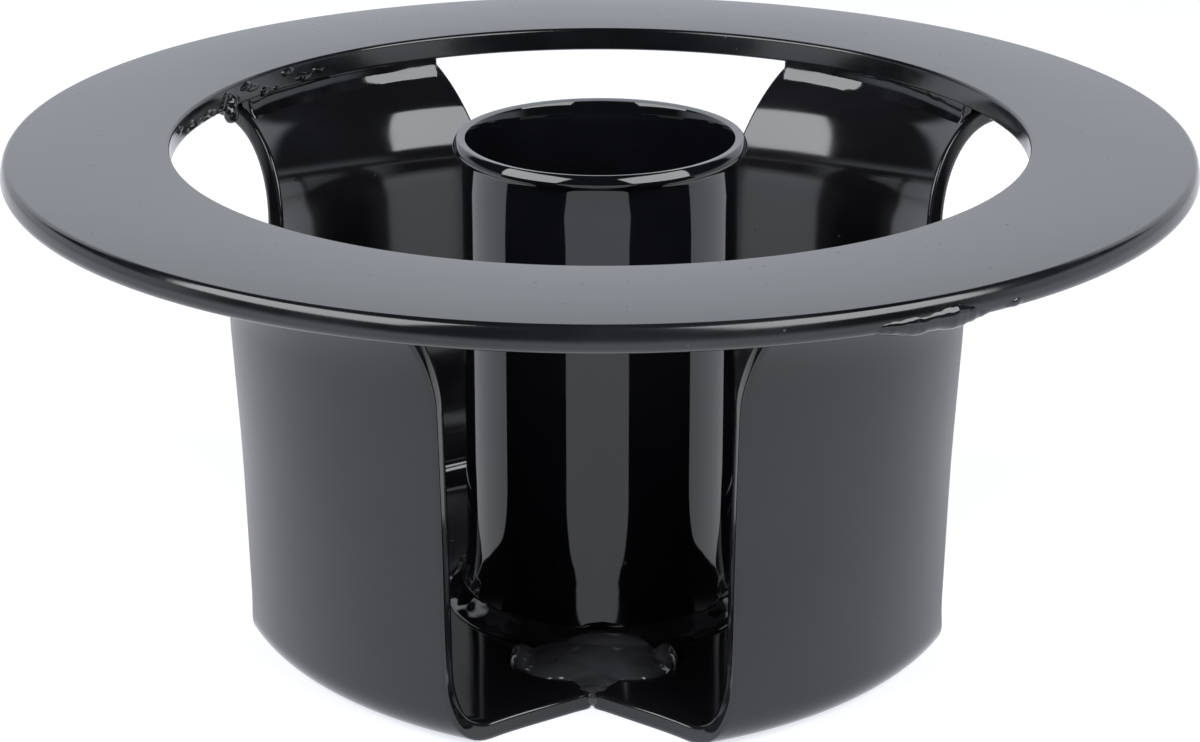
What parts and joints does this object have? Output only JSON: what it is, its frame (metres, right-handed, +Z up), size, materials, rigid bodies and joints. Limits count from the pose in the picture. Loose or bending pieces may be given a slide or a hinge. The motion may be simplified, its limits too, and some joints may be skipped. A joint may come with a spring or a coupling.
{
  "type": "food waste disposer cup insert",
  "caption": "Black enamelled steel drop-in insert: flat flange ring, slotted cup of curved leaves with a notched floor, and an open lipped centre tube.",
  "frame": {"origin": "middle of the base, on the surface the cup's floor stands on", "axes": "+Z up along the centre tube; the four slots face -Y (front), +X, +Y and -X"},
  "size_m": [0.216, 0.216, 0.094],
  "materials": {
    "ring_enamel": "black enamel over brushed plate, semi-gloss with faint streaks",
    "leaf_enamel": "smooth semi-gloss black enamel",
    "tube_enamel": "high-gloss black enamel",
    "weld_enamel": "gloss black enamel over lumpy weld"
  },
  "bodies": {
    "root": {"flange_ring": "ring_enamel", "leaf_front_left": "leaf_enamel", "leaf_front_right": "leaf_enamel", "leaf_back_right": "leaf_enamel", "leaf_back_left": "leaf_enamel", "rim_weld_front_left": "weld_enamel", "rim_weld_front_right": "weld_enamel", "rim_weld_back_right": "weld_enamel", "rim_weld_back_left": "weld_enamel", "centre_tube": "tube_enamel", "foot_weld": "weld_enamel", "seam_weld_front": "weld_enamel", "seam_weld_right": "weld_enamel", "seam_weld_back": "weld_enamel", "seam_weld_left": "weld_enamel"}
  },
  "joints": []
}
